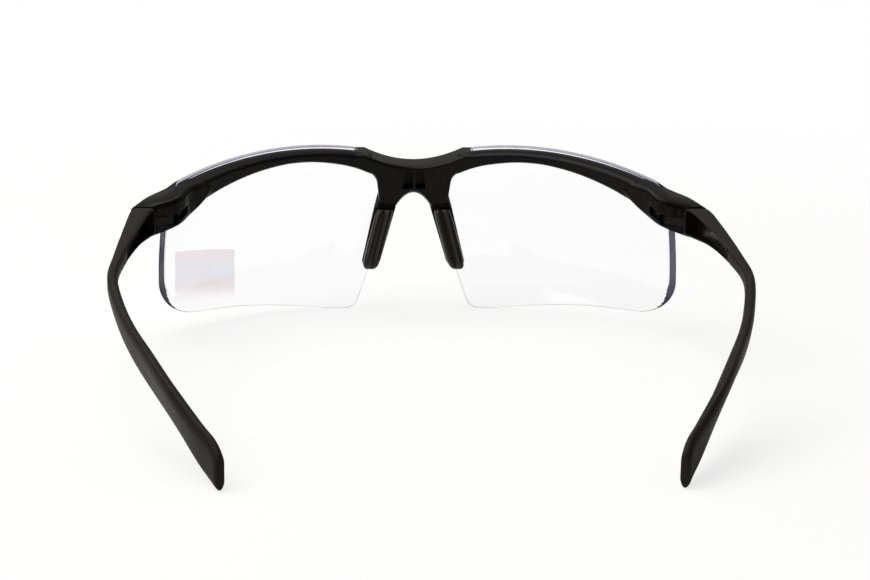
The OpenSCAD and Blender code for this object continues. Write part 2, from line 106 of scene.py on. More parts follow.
# %% Helpers for colours, nodes and meshes
# The kinds of node that come often.
MATH, RANGE, NOISE = "ShaderNodeMath", "ShaderNodeMapRange", "ShaderNodeTexNoise"
PRINCIPLED, OUTPUT = "ShaderNodeBsdfPrincipled", "ShaderNodeOutputMaterial"


def linear(code, alpha=1.0):
    """Linear RGBA of an sRGB hex colour."""
    parts = [int(code[i:i + 2], 16) / 255 for i in (1, 3, 5)]
    return [p / 12.92 if p <= 0.04045 else ((p + 0.055) / 1.055) ** 2.4 for p in parts] + [alpha]


def add(tree, kind, inputs=None, **settings):
    """A new node with its settings. An input takes a value, an output to link, or a node,
    whose first output is linked."""
    made = tree.nodes.new(kind)
    for name, value in settings.items():
        setattr(made, name, value)
    for name, value in (inputs or {}).items():
        if isinstance(value, bpy.types.Node):
            value = value.outputs[0]
        if isinstance(value, bpy.types.NodeSocket):
            tree.links.new(value, made.inputs[name])
        else:
            made.inputs[name].default_value = value
    return made


def new_material(name):
    """A material, its empty node tree, and the Object coordinates in that tree."""
    material = bpy.data.materials.new(name)
    material.use_nodes = True
    tree = material.node_tree
    tree.nodes.clear()
    return material, tree, add(tree, "ShaderNodeTexCoord").outputs["Object"]


def make_object(name, verts, faces, materials=(), indices=None):
    """A mesh object at the origin, linked to the scene."""
    mesh = bpy.data.meshes.new(name)
    mesh.from_pydata([tuple(v) for v in verts], [], faces)
    mesh.update()
    for material in materials:
        mesh.materials.append(material)
    if indices is not None:
        mesh.polygons.foreach_set("material_index", indices)
    made = bpy.data.objects.new(name, mesh)
    scene.collection.objects.link(made)
    return made


print("black nylon in linear numbers:", [round(c, 4) for c in linear("#141314")[:3]])

# %% [markdown]
# ## Floor
# The glasses stand on a white sweep that the picture shows as pure white, with only a
# breath of shadow where they touch it. A white paper alone would need so much light that
# the object burns out. So the camera, also through glass, sees a floor that gives part of its
# white by itself and part by the light that falls on it, and the part that it gives grows
# with the distance from the glasses. All other light meets plain white paper.

# %% Make the floor
def make_paper():
    """White seamless paper: matt, with a tooth of about 1 mm. It glows for the camera."""
    material, tree, place = new_material("white_seamless_paper")
    tooth = add(tree, NOISE, {"Vector": place, "Scale": 900.0, "Detail": 3.0})
    bump = add(tree, "ShaderNodeBump", {"Height": tooth, "Strength": 0.02, "Distance": 0.0002})
    far = add(tree, "ShaderNodeVectorMath", {0: place}, operation="LENGTH").outputs["Value"]
    share = add(tree, RANGE, {"Value": far, "From Min": 0.10, "From Max": 0.42, "To Min": 0.76,
                              "To Max": 1.0}, interpolation_type="SMOOTHSTEP")
    lit = add(tree, "ShaderNodeBsdfDiffuse", {"Color": linear("#f6f6f4"), "Normal": bump})
    glow = add(tree, "ShaderNodeEmission", {"Color": linear("#ffffff"), "Strength": 1.0})
    seen = add(tree, "ShaderNodeMixShader", {0: share, 1: lit, 2: glow})
    path = add(tree, "ShaderNodeLightPath").outputs
    sight = add(tree, MATH, {0: path["Is Camera Ray"], 1: path["Is Transmission Ray"]},
                operation="MAXIMUM")
    final = add(tree, "ShaderNodeMixShader", {0: sight, 1: lit, 2: seen})
    add(tree, OUTPUT, {"Surface": final})
    return material


FLOOR_HALF = 4.0
corners = [(x * FLOOR_HALF, y * FLOOR_HALF, 0) for x, y in ((-1, -1), (1, -1), (1, 1), (-1, 1))]
floor = make_object("floor", corners, [(0, 1, 2, 3)], [make_paper()])
floor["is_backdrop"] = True
print("floor", 2 * FLOOR_HALF, "m wide")

# %% [markdown]
# ## Light
# A large soft box hangs above the glasses, so the upper facets of the black parts turn
# grey and their backs stay nearly black. A small one beside the camera, at the left of the
# picture, draws soft lights on the temples. The world is a pale room that is dark near the
# floor and on the camera's side, where the backs and the tops of the parts mirror it.

# %% Hang the lamps and light the room
def soft_box(name, place, aim, width, height, watts):
    """A rectangular lamp at a place, turned to a point."""
    data = bpy.data.lights.new(name, "AREA")
    data.shape = "RECTANGLE"
    data.size, data.size_y, data.energy = width, height, watts
    lamp = bpy.data.objects.new(name, data)
    scene.collection.objects.link(lamp)
    lamp.location = place
    lamp.rotation_euler = (Vector(aim) - Vector(place)).to_track_quat("-Z", "Y").to_euler()


soft_box("top_box", (0.4, -0.05, 0.95), (0, 0, 0), 1.3, 1.0, 12.5)
soft_box("side_box", (0.75, 0.5, 0.4), (0, 0, 0.02), 0.4, 0.4, 0.9)

world = bpy.data.worlds.new("pale_room")
scene.world = world
world.use_nodes = True
room = world.node_tree
room.nodes.clear()
direction = add(room, "ShaderNodeTexCoord").outputs["Generated"]
towards = add(room, "ShaderNodeSeparateXYZ", {0: direction}).outputs
height = add(room, RANGE, {"Value": towards["Z"], "From Min": 0.1, "From Max": 0.38,
                           "To Min": 0.05, "To Max": 0.5}, interpolation_type="SMOOTHSTEP")
back = add(room, RANGE, {"Value": towards["Y"], "From Min": -0.6, "From Max": 0.6,
                         "To Min": 0.95, "To Max": 0.1}, interpolation_type="SMOOTHSTEP")
strength = add(room, MATH, {0: height, 1: back}, operation="MULTIPLY")
glow = add(room, "ShaderNodeBackground", {"Color": linear("#fcfbf8"), "Strength": strength})
add(room, "ShaderNodeOutputWorld", {"Surface": glow})

# %% [markdown]
# ## Clear polycarbonate
# Safety lenses are moulded from polycarbonate, which bends light more than window glass,
# and dipped in a hard coat that takes part of the mirror off, so the specular tint is grey.
# The body is clear, and fine wiping marks change its gloss a little. Lamps would throw a
# solid shadow behind real refraction, so their rays pass through a grey tint instead.

# %% Materials of the lenses
POLYCARBONATE_IOR = 1.586


def make_clear():
    """Hard-coated polycarbonate: water-clear, smooth, with faint wiping marks in its gloss."""
    material, tree, place = new_material("polycarbonate_hard_coated")
    # Wiping marks are a few hundredths of a millimetre wide; drawn at 0.7 mm so that they show.
    stretched = add(tree, "ShaderNodeMapping", {"Vector": place, "Rotation": (0, 0.5, 0),
                                                "Scale": (200, 200, 1400)})
    marks = add(tree, NOISE, {"Vector": stretched, "Scale": 1.0, "Detail": 3.0})
    gloss = add(tree, RANGE, {"Value": marks, "From Min": 0.45, "From Max": 0.8, "To Min": 0.0,
                              "To Max": 0.03})
    body = add(tree, PRINCIPLED, {"Base Color": linear("#fefeff"), "Roughness": gloss,
                                  "IOR": POLYCARBONATE_IOR, "Specular Tint": linear("#9a9a9a"),
                                  "Transmission Weight": 1.0})
    passing = add(tree, "ShaderNodeBsdfTransparent", {"Color": linear("#dededf")})
    shadow = add(tree, "ShaderNodeLightPath").outputs["Is Shadow Ray"]
    final = add(tree, "ShaderNodeMixShader", {0: shadow, 1: body, 2: passing})
    add(tree, OUTPUT, {"Surface": final})
    return material


def make_cut_edge():
    """Trimmed polycarbonate edge: silky and violet, with painted light from above that makes it
    pale along the brow, slate down the side, and painted shade that turns it nearly black towards
    the lower corner, where it then turns clear."""
    material, tree, place = new_material("polycarbonate_trimmed_edge")
    split = add(tree, "ShaderNodeSeparateXYZ", {0: place}).outputs
    # The trimming tool leaves lines about 0.1 mm apart, drawn at 0.4 mm.
    lines = add(tree, NOISE, {"Vector": place, "Scale": 2500.0, "Detail": 2.0})
    # Painted light and shade: the colour climbs from nearly black at the foot to pale at the
    # brow, as light from above would make it.
    painted_light_by_height = add(tree, RANGE, {"Value": split["Z"], "From Min": 0.003, "From Max": 0.036})
    colour = add(tree, "ShaderNodeValToRGB", {0: painted_light_by_height})
    stops = colour.color_ramp.elements
    stops[0].color, stops[1].color = linear("#26252c"), linear("#b4b3c5")
    for spot, code in ((0.2, "#464253"), (0.5, "#625b75"), (0.8, "#6a6779")):
        stops.new(spot).color = linear(code)
    bump = add(tree, "ShaderNodeBump", {"Height": lines, "Strength": 0.15, "Distance": 0.00005})
    outward = add(tree, MATH, {0: split["X"]}, operation="ABSOLUTE")
    corner = add(tree, RANGE, {"Value": outward, "From Min": 0.045, "From Max": 0.053})
    above = add(tree, RANGE, {"Value": split["Z"], "From Min": 0.004, "From Max": 0.012})
    cover = add(tree, MATH, {0: corner, 1: above}, operation="MAXIMUM")
    body = add(tree, PRINCIPLED, {"Base Color": colour, "Roughness": 0.35,
                                  "IOR": POLYCARBONATE_IOR, "Alpha": cover, "Normal": bump})
    add(tree, OUTPUT, {"Surface": body})
    return material


def make_polished(name, thin, thick):
    """Polished lower edge: it lets the light pass, but for a share between the two given."""
    material, tree, place = new_material(name)
    # Polishing leaves clearer spots of a few tenths of a millimetre, drawn at 1.7 mm.
    spots = add(tree, NOISE, {"Vector": place, "Scale": 600.0})
    cover = add(tree, RANGE, {"Value": spots, "To Min": thin, "To Max": thick})
    body = add(tree, PRINCIPLED, {"Base Color": linear("#3c3b44"), "Roughness": 0.3,
                                  "IOR": POLYCARBONATE_IOR, "Alpha": cover})
    add(tree, OUTPUT, {"Surface": body})
    return material


clear = make_clear()
cut_edge = make_cut_edge()
# The lower edge is nearly clear, but for a grey line where it meets the back of the lens.
thin_edge = make_polished("polycarbonate_polished_edge", 0.0, 0.03)
edge_line = make_polished("polycarbonate_edge_line", 0.6, 0.8)
print("lens materials:", clear.name, cut_edge.name, thin_edge.name, edge_line.name)

# %% [markdown]
# ## Black plastics and rubber
# The front is nylon moulded in a polished tool, so it has a soft gloss with a slight
# orange peel. The temples come from a textured tool: satin, charcoal rather than black,
# with a fine grain. The pads are soft elastomer, half matt, with a greyish bloom. All three
# differ in roughness and bump more than in colour, as black parts do in real life.

# %% Materials of the frame, the temples and the pads
def make_moulded(name, base, worn, rough, grain_mm, grain_depth, peel_depth, level):
    """A moulded plastic or rubber: base colour with clouds of the worn colour of 8 mm,
    roughness that varies with the grain, and a bump of the grain over orange peel of 3 mm."""
    material, tree, place = new_material(name)
    clouds = add(tree, NOISE, {"Vector": place, "Scale": 120.0, "Detail": 5.0, "Roughness": 0.6})
    share = add(tree, RANGE, {"Value": clouds, "From Min": 0.35, "From Max": 0.75})
    colour = add(tree, "ShaderNodeMix", {"Factor": share, 6: linear(base), 7: linear(worn)},
                 data_type="RGBA")
    grain = add(tree, NOISE, {"Vector": place, "Scale": 1 / (grain_mm * MM), "Detail": 2.0})
    gloss = add(tree, RANGE, {"Value": grain, "From Min": 0.3, "From Max": 0.7,
                              "To Min": rough[0], "To Max": rough[1]})
    peel = add(tree, NOISE, {"Vector": place, "Scale": 350.0, "Detail": 1.0})
    wide = add(tree, "ShaderNodeBump", {"Height": peel, "Strength": 0.2,
                                        "Distance": peel_depth * MM})
    fine = add(tree, "ShaderNodeBump", {"Height": grain, "Strength": 0.5,
                                        "Distance": grain_depth * MM, "Normal": wide})
    body = add(tree, PRINCIPLED, {"Base Color": colour.outputs[2], "Roughness": gloss, "IOR": 1.5,
                                  "Specular IOR Level": level, "Normal": fine})
    add(tree, OUTPUT, {"Surface": body})
    return material


# Polished nylon: deep black, with soft reflections of the room. Its grain is drawn at 0.35 mm.
gloss_nylon = make_moulded("nylon_moulded_polished", "#0e0d0c", "#151312", (0.20, 0.26),
                           0.35, 0.0005, 0.006, 0.08)
# Textured nylon: satin charcoal, with a grain of about 0.1 mm that is drawn at 0.4 mm.
satin_nylon = make_moulded("nylon_moulded_satin", "#161411", "#1e1b17", (0.52, 0.62),
                           0.4, 0.006, 0.008, 0.13)
# Soft elastomer: nearly black and half matt, with a greyish bloom drawn at 0.3 mm.
soft_rubber = make_moulded("elastomer_moulded_matt", "#15120f", "#1f1b16", (0.30, 0.40),
                           0.3, 0.003, 0.012, 0.5)
print("moulded materials:", gloss_nylon.name, satin_nylon.name, soft_rubber.name)

# %% [markdown]
# ## The measures of the glasses
# These are the millimetres of the CAD source. Its drawing has the front of the lens at
# Y = 0 and the tips far behind. The finished part is centred, so every point moves by
# MID_Y on its way into the scene.

# %% Measures
LENS_R, LENS_T = 67.0, 2.2
LENS_BACK_R = LENS_R - LENS_T
LENS_W, LENS_H, LENS_IN = 55.0, 41.1, 6.8
LENS_OUT = LENS_IN + LENS_W
LENS_CX, LENS_CZ = 7.0, 20.0
LENS_GAP = 0.12
SEG_R, SEG_X, SEG_Z, SEG_TOP, SEG_RISE = 13.0, 15.7, 10.5, 12.5, 0.4
MID_Y = 76.336


def ball_y(x, z, r):
    """Y of a sphere about the lens centre; between the two lens axes it runs straight."""
    x = np.maximum(np.abs(x) - LENS_CX, 0)
    return LENS_R - np.sqrt(r * r - x * x - (z - LENS_CZ) ** 2)


def into_scene(points, left):
    """Drawing millimetres of a left-hand piece, in scene metres, mirrored for the right."""
    points = np.array(points, float)
    points[:, 1] -= MID_Y
    if not left:
        points[:, 0] *= -1
    return points * MM


print("lens radius", LENS_R, "mm, thickness", LENS_T, "mm")

# %% [markdown]
# ## Lenses
# Each lens is a piece cut from a spherical shell, with a bifocal segment in the lower
# part of its back: a slightly stronger cap whose flat top is a thin step. A boolean of two
# spheres would work, but its slivers spoil the reflections. Rows of points at even heights
# follow the outline exactly, and one row lies on the step, so the glass stays clean.

# %% Outline of a lens
CORNERS = [(0, .836, .2), (.145, .981, .05), (.541, 1.05, .965), (.918, .88, .07),
           (.987, .664, .3), (1, .435, .5), (.996, .1, .64), (.658, .073, .4),
           (.231, 0, .15), (.136, 0, .4), (.047, .328, .45), (0, .652, .6)]


def corner_arc(a, p, b, share, step=math.radians(2.0)):
    """Points of the arc that rounds corner p between a and b."""
    u, v = (a - p) / np.linalg.norm(a - p), (b - p) / np.linalg.norm(b - p)
    half = math.acos(np.dot(u, v)) / 2
    reach = share * min(np.linalg.norm(a - p), np.linalg.norm(b - p))
    radius = reach * math.tan(half)
    middle = p + (u + v) / np.linalg.norm(u + v) * radius / math.sin(half)
    start, end = (math.atan2(*(p + reach * way - middle)[::-1]) for way in (u, v))
    sweep = (end - start + 3 * math.pi) % (2 * math.pi) - math.pi
    n = max(2, math.ceil(abs(sweep) / step))
    angles = start + sweep * np.arange(n + 1) / n
    return middle + radius * np.stack([np.cos(angles), np.sin(angles)], 1), middle, radius


places = [np.array((LENS_IN + c[0] * LENS_W, c[1] * LENS_H)) for c in CORNERS]
arcs = [corner_arc(places[i - 1], places[i], places[(i + 1) % len(places)], CORNERS[i][2])
        for i in range(len(places))]
outline = np.concatenate([arc[0] for arc in arcs])
brow_middle, brow_radius = arcs[2][1], arcs[2][2]


def top_z(x):
    """Height of the upper edge of the lens, which is one long arc."""
    return brow_middle[1] + np.sqrt(brow_radius ** 2 - (x - brow_middle[0]) ** 2)


print("outline:", len(outline), "points,", np.round(np.ptp(outline, axis=0), 2), "mm")

# %% Grid of rows over the outline
def grown(points, extra):
    """The outline's points moved out by an extra distance, about its middle."""
    middle = np.array((LENS_IN + LENS_W / 2, LENS_H / 2))
    return middle + (points - middle) * (1 + 2 * extra / np.array((LENS_W, LENS_H)))


def lens_rows(edge, columns, steps=(), even=48, inside=0.002, apart=0.05, off_step=0.2):
    """Rows of points inside an outline: even heights, the outline's own, and the steps."""
    low, high = edge[:, 1].min() + inside, edge[:, 1].max() - inside
    heights = sorted(h for h in (*np.linspace(low, high, even), *edge[:, 1])
                     if low <= h <= high and all(abs(h - s) > off_step for s in steps))
    kept = [heights[0]]
    for h in heights[1:]:
        if h - kept[-1] > apart or h == heights[-1]:
            kept.append(h)
    kept = np.array(sorted(kept + list(steps)))
    a, b = edge, np.roll(edge, -1, axis=0)
    rows = []
    for h in kept:
        crossing = (a[:, 1] <= h) != (b[:, 1] <= h)
        share = (h - a[crossing, 1]) / (b[crossing, 1] - a[crossing, 1])
        x = a[crossing, 0] + share * (b[crossing, 0] - a[crossing, 0])
        rows.append(np.stack([np.linspace(x.min(), x.max(), columns), np.full(columns, h)], 1))
    return np.array(rows)


def segment_rise(x, z):
    """How far the bifocal segment stands out of the back of the lens."""
    d2 = (x - LENS_IN - SEG_X) ** 2 + (z - SEG_Z) ** 2
    return np.where(z < SEG_TOP, SEG_RISE * np.clip(1 - d2 / SEG_R ** 2, 0, None), 0)


# Shares of the thickness at which the edge has a row of points, and a share past the back.
RIM_SHARES, PAST_BACK = (0.25, 0.4, 0.55, 0.7, 0.85), 1.1
# How far down the edge faces where its silky part begins to taper and where it ends, on the
# outer side of the lens, and where it ends on the inner side.
TAPER_FROM, TAPER_TO, INNER_END = 0.38, 0.94, 0.2
# Order of the finishes in a lens's list of materials.
CLEAR, SILKY, THIN, LINE = range(4)


def lens_mesh(front_r, back_r, extra=0.0, segment=False, rim=0.12, columns=70):
    """Points, faces and face materials of a lens: front, back, and a rounded trimmed edge."""
    steps = (SEG_TOP - 0.001, SEG_TOP + 0.15) if segment else ()
    rows = lens_rows(grown(outline, extra - rim), columns, steps)
    m, n = rows.shape[:2]
    flat = rows.reshape(-1, 2)
    x, z = flat.T
    front = np.stack([x, ball_y(x, z, front_r), z], 1)
    back = np.stack([x, ball_y(x, z, back_r) + (segment_rise(x, z) if segment else 0), z], 1)
    ids = np.arange(m * n).reshape(m, n)
    loop = np.concatenate([ids[0, :-1], ids[:-1, -1], ids[-1, :0:-1], ids[:0:-1, 0]])
    wide = grown(flat[loop], rim)
    fx, fz = wide.T
    thick = ball_y(fx, fz, back_r) - ball_y(fx, fz, front_r)
    share = [0.5 * rim, *RIM_SHARES, 1 - 0.5 * rim]
    rims = [np.stack([fx, ball_y(fx, fz, front_r) + thick * s, fz], 1) for s in share]
    verts = np.concatenate([front, back, *rims])
    # The edge is silky where it faces up or sideways, and polished where it faces down. Round
    # the outer lower corner the silky part tapers towards the back.
    run = np.roll(wide, -1, axis=0) - np.roll(wide, 1, axis=0)
    down = run[:, 0] / np.linalg.norm(run, axis=1)
    outer = np.clip((down - TAPER_FROM) / (TAPER_TO - TAPER_FROM), 0, PAST_BACK)
    inner = np.where(down > INNER_END, PAST_BACK, 0)
    silky_from = np.where(fx > LENS_IN + LENS_W / 2, outer, inner)
    k, count = len(loop), m * n
    quads = np.stack([ids[:-1, :-1], ids[:-1, 1:], ids[1:, 1:], ids[1:, :-1]], -1).reshape(-1, 4)
    faces = list(np.stack([quads, quads[:, (0, 3, 2, 1)] + count], 1).reshape(-1, 4))
    kind = [CLEAR] * len(faces)
    chain = [loop, *(2 * count + k * s + np.arange(k) for s in range(len(share))), loop + count]
    for strip, (first, second) in enumerate(zip(chain, chain[1:])):
        for i in range(k):
            j = (i + 1) % k
            faces.append((first[i], second[i], second[j], first[j]))
            silky = strip / len(share) >= max(silky_from[i], silky_from[j])
            kind.append(SILKY if silky else LINE if strip >= len(share) - 1 else THIN)
    return verts, [tuple(int(v) for v in f) for f in faces], kind


verts, faces, kind = lens_mesh(LENS_R, LENS_BACK_R, segment=True)
print("lens:", len(verts), "points,", len(faces), "faces")

# %% Build the two lenses
def close(piece, angle=30.0, merge=1e-7):
    """Merges doubles, turns faces outwards, and shades smooth but for sharp edges."""
    mesh = bmesh.new()
    mesh.from_mesh(piece.data)
    bmesh.ops.remove_doubles(mesh, verts=mesh.verts, dist=merge)
    bmesh.ops.dissolve_degenerate(mesh, edges=mesh.edges, dist=merge)
    bmesh.ops.recalc_face_normals(mesh, faces=mesh.faces)
    mesh.to_mesh(piece.data)
    mesh.free()
    piece.data.shade_smooth()
    piece.data.set_sharp_from_angle(angle=math.radians(angle))
    return piece


def finish_piece(piece, body, node):
    """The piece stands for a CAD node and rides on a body."""
    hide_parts(node)
    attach(piece, body)
    size = np.ptp(np.array([v.co for v in piece.data.vertices]), axis=0) / MM
    print(f"{piece.name}: {len(piece.data.polygons)} faces, {np.round(size, 1)} mm")


for side in ("left", "right"):
    lens = make_object(f"{side}_lens_glass", into_scene(verts, side == "left"), faces,
                       [clear, cut_edge, thin_edge, edge_line], kind)
    close(lens)
    finish_piece(lens, "front", f"{side}_lens")

# %% [markdown]
# ## Drawing solids from rings
# The black parts change their section all the way along, so each is a skin over rings,
# like the ribs and planking of a boat. The rings are the CAD's, taken much more finely and
# with each corner rounded, because the thin lights along rounded corners are what make
# moulded plastic look real.

# %% Helpers for rings, skins and carving
def rounded(ring, radius, steps=4, most=0.45):
    """The ring with each corner cut by a small curve that takes at most a share of a side."""
    ring = np.array(ring, float)
    out = []
    for p, a, b in zip(ring, np.roll(ring, 1, axis=0), np.roll(ring, -1, axis=0)):
        start, end = (p + (q - p) * min(radius / np.linalg.norm(q - p), most) for q in (a, b))
        for t in np.linspace(0, 1, steps + 1):
            out.append((1 - t) ** 2 * start + 2 * t * (1 - t) * p + t * t * end)
    return np.array(out)


def smooth_at(values, s):
    """Values at place s, counted in entries, of the smooth curves through a table's entries."""
    last = len(values) - 1
    i = min(max(math.floor(s), 0), last - 1)
    t = s - i
    a, b, c, d = (values[min(max(k, 0), last)] for k in (i - 1, i, i + 1, i + 2))
    return 0.5 * (2 * b + (c - a) * t + (2 * a - 5 * b + 4 * c - d) * t ** 2
                  + (3 * b - 3 * c + d - a) * t ** 3)


def flowing(rings, count):
    """More rings, on smooth curves through the corresponding points of a few."""
    rings = np.array(rings, float)
    return [smooth_at(rings, s) for s in np.linspace(0, len(rings) - 1, count)]


def loft(name, rings, left=True):
    """A closed skin over rings that have the same number of points."""
    m, n = len(rings), len(rings[0])
    faces = [(j * n + i, j * n + (i + 1) % n, (j + 1) * n + (i + 1) % n, (j + 1) * n + i)
             for j in range(m - 1) for i in range(n)]
    faces += [tuple(range(n - 1, -1, -1)), tuple((m - 1) * n + i for i in range(n))]
    return close(make_object(name, into_scene(np.concatenate(rings), left), faces))


def prism(name, flat, low, high, left):
    """A flat outline in X and Y between two heights, which may vary from point to point."""
    low, high = np.broadcast_to(low, len(flat)), np.broadcast_to(high, len(flat))
    rings = [[(p[0], p[1], z) for p, z in zip(flat, level)] for level in (low, high)]
    return loft(name, rings, left)


def circle(middle, radius, points=64):
    angles = np.linspace(0, 2 * math.pi, points, endpoint=False)
    return middle + radius * np.stack([np.cos(angles), np.sin(angles)], 1)


def dress(piece, material):
    """Gives all faces of an object one material."""
    piece.data.materials.clear()
    piece.data.materials.append(material)


def apply(piece, step):
    """Turns the result of a modifier into the plain mesh of its object."""
    graph = bpy.context.evaluated_depsgraph_get()
    result = bpy.data.meshes.new_from_object(piece.evaluated_get(graph))
    piece.modifiers.remove(step)
    piece.data = result


def combine(body, tool, operation="DIFFERENCE"):
    """Carves a tool out of a body or joins it, with the tool's finish or else the body's."""
    if body.data.materials and not tool.data.materials:
        tool.data.materials.append(body.data.materials[0])
    step = body.modifiers.new("step", "BOOLEAN")
    step.operation, step.solver, step.object = operation, "MANIFOLD", tool
    step.material_mode = "TRANSFER"
    apply(body, step)
    bpy.data.objects.remove(tool)


print("helpers for rings are ready")

# %% [markdown]
# ## Brow bars and end pieces
# A slim bar runs behind the top of each lens and thickens towards the temple, where an
# end piece wraps round the corner of the lens and holds the hinge. The bar's ring lies in
# an upright plane through the lens axis, so its front follows the back of the lens.

# %% Bar and end piece
BAR_D, BAR_H, BAR_END_H, BAR_LOW, LAP = 4.0, 2.9, 6.0, 0.5, 0.4
COVER_T, BEVEL = 1.3, 0.7
JOINT_BACK, JOINT_W, JOINT_H, JOINT_Z, JOINT_GAP = 5.7, 6.0, 7.0, 25.3, 0.15
GROWTH = np.array([(.07, .7), (.133, .41), (.19, .25), (.237, .17), (.303, .07), (.36, .01),
                   (.455, 0), (.532, .1), (.61, .23), (.689, .42), (.769, .65), (.83, .88),
                   (.86, .95), (1, .95)])


def soft_lookup(value, table, reach):
    """A table read with its kinks smoothed, by the mean of readings around the value."""
    offsets = np.linspace(-reach, reach, 9)
    return float(np.mean(np.interp(value + offsets, table[:, 0], table[:, 1])))


def bar_point(a, d, z):
    """Point at angle a about the lens axis, d behind the front of the bar, z up."""
    r = math.sqrt((LENS_BACK_R - LENS_GAP - d) ** 2 - (z - LENS_CZ) ** 2)
    return (LENS_CX + r * math.sin(a), LENS_R - r * math.cos(a), z)


def bar_angle(x):
    """Angle about the lens axis at which the top of the lens reaches x."""
    reach = (LENS_BACK_R - LENS_GAP) ** 2 - (top_z(x) - BAR_LOW - LENS_CZ) ** 2
    return math.asin((x - LENS_CX) / math.sqrt(reach))


def bar_ring(share):
    """Section of the brow bar at a share of the lens width."""
    x = LENS_IN + share * LENS_W
    a, top = bar_angle(x), top_z(x) - BAR_LOW
    foot = top - BAR_H - (BAR_END_H - BAR_H) * soft_lookup(share, GROWTH, reach=0.02)
    return rounded([bar_point(a, d, z) for d, z in (
        (-LAP, foot), (-LAP, (foot + top) / 2), (-LAP, top), (BAR_D * 0.35, top),
        (BAR_D * 0.8, top - BAR_H * 0.2), (BAR_D, top - BAR_H * 0.4),
        (BAR_D, foot + BAR_H * 0.17), (BAR_D * 0.87, foot), (BAR_D * 0.4, foot))], 0.5)


def end_ring(inner, outer, top, middle, crease, foot):
    """Section of the end piece from an inner to an outer point, with its four heights."""
    inner, outer = np.array(inner), np.array(outer)
    w = np.linalg.norm(outer - inner)
    spots = [(w, foot + BEVEL), (w, top - BEVEL), (w - BEVEL, top), (w * 0.45, middle),
             (BEVEL, crease), (0, crease - BEVEL), (0, foot + BEVEL), (BEVEL, foot),
             (w - BEVEL, foot)]
    return [(*(inner + (outer - inner) * p / w), z) for p, z in spots]


# Shares of the lens width at which the end piece grows out of the bar and wraps the lens.
ROOT_SHARE, END_SHARE = 0.79, 0.86
joint_y = float(ball_y(LENS_OUT, LENS_CZ, LENS_BACK_R)) + JOINT_BACK
joint_in = np.array((LENS_OUT, joint_y))
joint_top = JOINT_Z + JOINT_H


def end_start(d, share=END_SHARE):
    """Point level with the bar's top, d behind the lens, at a share of its width."""
    x = LENS_IN + share * LENS_W
    return bar_point(bar_angle(x), d - LENS_GAP, top_z(x) - BAR_LOW)


def mixed(a, b, t):
    return a + (b - a) * t


end_top = end_start(0)[2]
end_foot = end_top - BAR_END_H
root_z = end_start(0, ROOT_SHARE)[2]


def near_joint(inner, outer, *shares):
    """Section near the joint, with heights between the joint's and the bar's."""
    reach = [(joint_top, end_top)] * 3 + [(JOINT_Z, end_foot)]
    heights = [mixed(*pair, share) for pair, share in zip(reach, shares)]
    return end_ring(joint_in + inner, joint_in + outer, *heights)


END_RINGS = [
    end_ring(end_start(BAR_D * 0.7, ROOT_SHARE)[:2], end_start(0.4, ROOT_SHARE)[:2],
             root_z - 1, root_z - 1, root_z - 1.3, root_z - 4),
    end_ring(end_start(BAR_D + LENS_GAP)[:2], end_start(-LENS_T - COVER_T)[:2],
             end_top - 0.5, end_top + 0.1, end_top - 0.6, end_foot + 0.4),
    near_joint((-7.9, -6.6), (-1.1, -11), 0.5, 0.78, 0.74, 0.62),
    near_joint((-5.3, -2), (2.9, -5.5), 0.3, 0.35, 0.38, 0.34),
    near_joint((0, 0), (JOINT_W, 0), 0, 0, 0, 0)]
print(f"joint face at y {joint_y:.2f} mm, end piece top {end_top:.2f} mm")

# %% [markdown]
# ## Bridge and nose arms
# The bridge covers the inner ends of both lenses from the front, dips in the middle of
# its top edge, and arches over the nose. Its ring is drawn for each X from edge curves
# that were read off the photograph. Two arms lean out and back from it to carry the pads.

# %% Sections of the bridge and the arms
BRIDGE_Z, BRIDGE_RISE, HOOK_X, ARCH_Z = 36.9, 3.2, 14.7, 29.2
PAD_Z, PAD_H, PAD_TOP_X, PAD_LOW_X, PAD_BACK = 25.4, 14.8, 6.9, 10.9, 4.1
PAD_W, PAD_T, ARM_T, PAD_GAP, HOLLOW_D = 4.8, 2.5, 2.2, 0.2, 4.0
BRIDGE_H = BRIDGE_Z - ARCH_Z
ARCH_HALF = HOOK_X * 0.296
ARCH_FALL = ARCH_Z - PAD_Z - PAD_GAP
bridge_low = np.array([(.565, .43), (.592, .2), (.605, -.29), (.639, -.47), (.694, -.6),
                       (.762, -.69), (.85, -.77), (.925, -.84), (1.36, -.91)])
cover_low = np.array([(0, 0), (.33, .26), (.48, .13), (.61, -.39), (.75, -.82), (.88, -1.12),
                      (1.36, -1.25)])


def bridge_foot(x):
    """Height of the bridge's lower edge: the nose arch, then the hooks."""
    if abs(x) < ARCH_HALF:
        return ARCH_Z - ARCH_FALL * (x / ARCH_HALF) ** 2
    if abs(x) < HOOK_X * 0.5:
        return ARCH_Z - ARCH_FALL
    return ARCH_Z - BRIDGE_H * soft_lookup(abs(x) / HOOK_X, bridge_low, reach=0.02)


def bridge_ring(x):
    """Section of the bridge at x, from its back round to its cover."""
    top = BRIDGE_Z + BRIDGE_RISE * min(abs(x) / (HOOK_X - 2.5), 1) ** 2
    foot = min(bridge_foot(x), top - 2.4)
    crease = top - 0.9
    low = min(ARCH_Z - BRIDGE_H * soft_lookup(abs(x) / HOOK_X, cover_low, reach=0.04), top - 1)
    front, back = LENS_R + COVER_T, LENS_BACK_R - LENS_GAP - BAR_D * 1.02
    return rounded([(x, float(ball_y(x, z, r)) + d, z) for z, r, d in (
        (crease, back, -0.7), (crease - 0.5, back, 0), (foot + 0.8, back, 0),
        (foot, back, -1.2), (low, front, 0.6), (low + 0.3, front, 0),
        (top - 0.5, front, 0), (top, front, 0.8))], 0.45)


arm_top = np.array((PAD_TOP_X, float(ball_y(PAD_TOP_X, PAD_Z, LENS_BACK_R)) + 0.3))
arm_low = np.array((PAD_LOW_X, arm_top[1] + PAD_BACK))


def arm_at(z):
    return arm_top + (arm_low - arm_top) * (PAD_Z - z) / PAD_H


